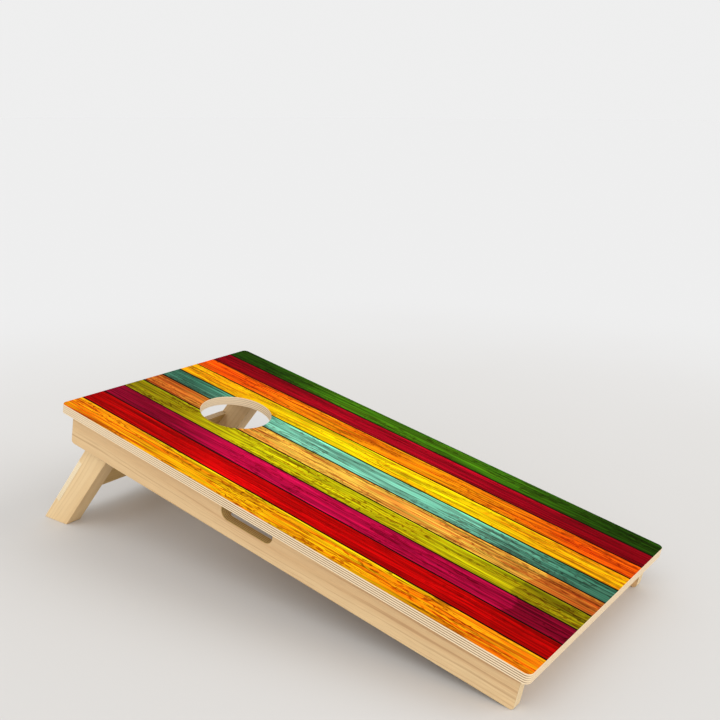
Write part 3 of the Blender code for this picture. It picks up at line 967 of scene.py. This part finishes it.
def make_brace(materials):
    side = (-LEG_HALF, -LEG_HALF + BRACE_DEPTH, BRACE_EASING, BRACE_PAIRS)
    outline = rectangle(LEG_OUTER_X, BRACE_TOP, BRACE_FOOT, BRACE_EASING)
    add_ply(
        "leg_brace", [outline], side, LEG @ CROSS_AXES, "leg_set",
        materials, (5.2, 3.3, 0), screw_holes((-1, 1), CROSS_AXES.inverted()),
    )


def add_hardware(node, ending, mesh, matrix, body, material):
    store_space(mesh)
    use_materials(mesh, material)
    shade(mesh, HARDWARE_SHARP_ANGLE)
    place_piece(node + ending, mesh, matrix, body, [node])


def hexagon_radius(across, turn):
    sector = (turn + math.pi / 6) % (math.pi / 3) - math.pi / 6
    return across / 2 / math.cos(sector)


def make_bolt(side, sign, steel):
    """A hexagon-head bolt: washer face, chamfered hexagon, plain shank and rolled thread. X runs from the
    head to the tip."""
    head_top = -BOLT_HEAD_DEPTH
    length = BOLT_TIP_X - BOLT_SEAT_X
    thread_start = length - BOLT_THREAD_LENGTH
    profile = [(0, head_top + 0.25 * MM), (3.6 * MM, head_top + 0.25 * MM), (4.1 * MM, head_top)]
    for radius in (5.9, 6.3, 6.7, 7.1, 7.6):
        profile.append((radius * MM, head_top + 0.02 * MM + (radius - 5.9) * 0.55 * MM))
    profile += [(8.0 * MM, -0.9 * MM), (7.9 * MM, -0.45 * MM), (5.9 * MM, -0.4 * MM), (5.85 * MM, 0)]
    profile += [(BOLT_RADIUS + 0.3 * MM, 0), (BOLT_RADIUS, 0.35 * MM), (BOLT_RADIUS, thread_start)]
    rings = int((length - 1.2 * MM - thread_start) / BOLT_PITCH * 5)
    for ring in range(1, rings + 1):
        profile.append((BOLT_RADIUS, thread_start + ring * BOLT_PITCH / 5))
    profile += [(BOLT_RADIUS - 0.8 * MM, length), (0, length)]

    def radius_at(radius, x, turn):
        if x < 0 and radius > 5.9 * MM:
            return min(radius, hexagon_radius(BOLT_HEAD_ACROSS, turn))
        fade = min(1.0, max(0.0, (x - thread_start) / (2 * BOLT_PITCH)))
        return radius - fade * thread_depth(x, turn, BOLT_PITCH, 0.55 * MM)

    node = "pivot_bolt_" + side
    mesh = mesh_of(node, turned(lathe(profile, 72, radius_at)))
    matrix = PIVOT @ to_side(sign) @ Matrix.Translation((BOLT_SEAT_X, 0, 0))
    add_hardware(node, "_m8", mesh, matrix, "board", steel)


def washer(node, inner, outer, start, end, ease):
    """A flat ring with rounded edges, its profile running from its inner wall round to it again."""
    near = ease * 0.3
    profile = (
        (inner, start + ease), (inner + near, start + near), (inner + ease, start),
        (outer - ease, start), (outer - near, start + near), (outer, start + ease),
        (outer, end - ease), (outer - near, end - near), (outer - ease, end),
        (inner + ease, end), (inner + near, end - near), (inner, end - ease),
    )
    return mesh_of(node, turned(lathe(profile, 64)))


def make_washers(side, sign, steel, plastic):
    bore = BOLT_RADIUS + 0.2 * MM
    matrix = PIVOT @ to_side(sign)
    node = "head_washer_" + side
    seat = LEG_INNER_X - GAP
    mesh = washer(node, bore, WASHER_RADIUS, seat - HEAD_WASHER_DEPTH, seat, 0.35 * MM)
    add_hardware(node, "_flat", mesh, matrix, "board", steel)
    node = "spacer_washer_" + side
    face = LEG_OUTER_X + GAP
    mesh = washer(node, bore, WASHER_RADIUS, face, face + SPACER_DEPTH, 0.25 * MM)
    add_hardware(node, "_ring", mesh, matrix, "board", plastic)


def make_insert(side, sign, brass):
    """A brass sleeve with a flange at its mouth and a coarse thread outside."""
    mouth = RAIL_INNER_X + FIT
    end = mouth + INSERT_DEPTH
    bore = BOLT_RADIUS + 0.1 * MM
    crest = INSERT_RADIUS - 0.01 * MM
    profile = [(bore, mouth), (INSERT_RADIUS, mouth), (INSERT_RADIUS, mouth + 0.6 * MM)]
    rings = int((INSERT_DEPTH - 1.4 * MM) / INSERT_PITCH * 6)
    for ring in range(rings):
        profile.append((crest, mouth + 0.9 * MM + ring * INSERT_PITCH / 6))
    profile += [(INSERT_RADIUS - 1.2 * MM, end), (bore, end)]

    def radius_at(radius, x, turn):
        if radius != crest:
            return radius
        return radius - thread_depth(x, turn, INSERT_PITCH, 1.0 * MM)

    node = "threaded_insert_" + side
    mesh = mesh_of(node, turned(lathe(profile, 48, radius_at)))
    add_hardware(node, "_brass", mesh, PIVOT @ to_side(sign), "board", brass)


def cross_drive():
    """A tapered cross for a screw's drive, from above the head's face down to a point, in millimetres."""
    rings = []
    for x, arm, wing in ((-1.0, 2.75, 0.62), (0.0, 2.5, 0.58), (1.2, 1.7, 0.5), (2.2, 0.9, 0.35)):
        corners = (
            (wing, wing), (wing, arm), (-wing, arm), (-wing, wing), (-arm, wing), (-arm, -wing),
            (-wing, -wing), (-wing, -arm), (wing, -arm), (wing, -wing), (arm, -wing), (arm, wing),
        )
        rings.append([(x * MM, a * MM, b * MM) for a, b in corners])
    return turned([[(-1.0 * MM, 0, 0)]] + rings + [[(2.6 * MM, 0, 0)]])


def make_screw(side, sign, number, rise, steel):
    """A countersunk wood screw with a cross drive, a plain neck and a coarse thread."""
    neck = SCREW_SHANK - 0.25 * MM
    profile = [(0, 0), (SCREW_HEAD - 0.15 * MM, 0), (SCREW_HEAD, 0.15 * MM), (SCREW_HEAD, 0.35 * MM)]
    profile += [(neck + 0.5 * MM, 2.7 * MM), (neck, 3.6 * MM), (neck, SCREW_THREAD_START)]
    rings = int((SCREW_LENGTH - 1 * MM - SCREW_THREAD_START) / SCREW_PITCH * 5)
    for ring in range(1, rings):
        profile.append((SCREW_SHANK, SCREW_THREAD_START + ring * SCREW_PITCH / 5))
    profile += [(0, SCREW_LENGTH)]

    def radius_at(radius, x, turn):
        if radius != SCREW_SHANK:
            return radius
        taper = min(1.0, (SCREW_LENGTH - x) / (6 * MM))
        return max(0.25 * MM, (radius - thread_depth(x, turn, SCREW_PITCH, 0.75 * MM)) * taper)

    node = "brace_screw_" + side + "_" + str(number)
    mesh = carve(mesh_of(node, turned(lathe(profile, 32, radius_at))), [cross_drive()])
    add_hardware(node, "_csk", mesh, LEG @ screw_place(sign, rise), "leg_set", steel)


# --------------------------------------------------------------------------------------------------
# Studio


def make_floor():
    bm = bmesh.new()
    bmesh.ops.create_circle(bm, cap_ends=True, segments=96, radius=FLOOR_RADIUS)
    floor = bpy.data.objects.new("studio_floor", mesh_of("studio_floor", bm))
    floor.data.materials.append(studio_floor("studio_floor"))
    bpy.context.scene.collection.objects.link(floor)


def make_lights():
    world = bpy.data.worlds.new("studio")
    world.use_nodes = True
    sky = world.node_tree.nodes["Background"]
    sky.inputs["Color"].default_value = (1.0, 1.0, 1.0, 1.0)
    sky.inputs["Strength"].default_value = SKY_STRENGTH
    bpy.context.scene.world = world
    for name, strength, spread, towards in LAMPS:
        lamp = bpy.data.lights.new(name, "SUN")
        lamp.energy = strength
        lamp.angle = math.radians(spread)
        holder = bpy.data.objects.new(name, lamp)
        holder.rotation_euler = Vector(towards).to_track_quat("-Z", "Y").to_euler()
        bpy.context.scene.collection.objects.link(holder)


def make_camera():
    camera = bpy.data.cameras.new("camera")
    camera.lens = CAMERA_LENS
    camera.sensor_width = CAMERA_SENSOR
    camera.clip_end = CAMERA_REACH
    holder = bpy.data.objects.new("camera", camera)
    holder.rotation_euler = CAMERA_TURN.to_euler()
    holder.location = CAMERA_PLACE
    bpy.context.scene.collection.objects.link(holder)
    bpy.context.scene.camera = holder
    bpy.context.scene.view_settings.view_transform = "Standard"


# --------------------------------------------------------------------------------------------------
# The board


def build():
    face = veneer_face("birch_face", (0.775, 0.555, 0.295), (0.685, 0.44, 0.215), (0.48, 0.265, 0.12))
    under = veneer_face("deck_back", (0.82, 0.60, 0.36), (0.74, 0.50, 0.28), (0.58, 0.34, 0.18))
    # The brace's veneer: its own olive tone, made darker and more saturated as painted shade and warm bounce
    # light from the wood round it under the deck.
    brace_face_with_shade = veneer_face("brace_face_with_shade", (0.71, 0.485, 0.18), (0.63, 0.39, 0.12), (0.46, 0.25, 0.07))
    deck_edge = layered_edge(
        "birch_edge", (0.92, 0.73, 0.485), (0.30, 0.185, 0.10), (0.14, 0.085, 0.05), DECK_EDGE_FADING
    )
    rail_edge = layered_edge("rail_edge", (0.90, 0.70, 0.42), (0.27, 0.16, 0.075), (0.14, 0.085, 0.05))
    # The hand-hold's wall takes a darker, browner rail edge: painted shade of the recess under the deck.
    hold_wall_shade = layered_edge("hand_hold_painted_shade", (0.60, 0.41, 0.15), (0.27, 0.16, 0.06), (0.14, 0.085, 0.04))
    brace_edge = layered_edge("brace_edge", (0.92, 0.77, 0.52), (0.74, 0.56, 0.34), (0.45, 0.28, 0.15))
    wood = solid_wood("leg_wood", (0.83, 0.61, 0.335), (0.75, 0.515, 0.26), (0.60, 0.37, 0.17))
    steel = metal("zinc", (0.42, 0.43, 0.45), (0.72, 0.73, 0.74), 0.3)
    brass = metal("brass", (0.42, 0.27, 0.09), (0.78, 0.56, 0.24), 0.32)
    plastic = nylon("nylon")
    make_deck((under, deck_edge))
    make_print(printed_planks("plank_print"), film_edge("film_edge"))
    make_cross_rail("head_rail", RAIL_BOTTOM, (face, rail_edge), 0.7)
    make_cross_rail("tail_rail", RAIL_BOTTOM, (face, rail_edge), 1.9)
    make_cross_rail("cross_batten", BATTEN_BOTTOM, (face, rail_edge), 3.1)
    make_brace((brace_face_with_shade, brace_edge))
    for side, sign in SIDES:
        make_side_rail(side, sign, (face, rail_edge, hold_wall_shade))
        make_leg(side, sign, wood)
        make_bolt(side, sign, steel)
        make_washers(side, sign, steel, plastic)
        make_insert(side, sign, brass)
        for number, rise in enumerate(SCREW_RISES, 1):
            make_screw(side, sign, number, rise, steel)


build()
make_floor()
make_lights()
make_camera()
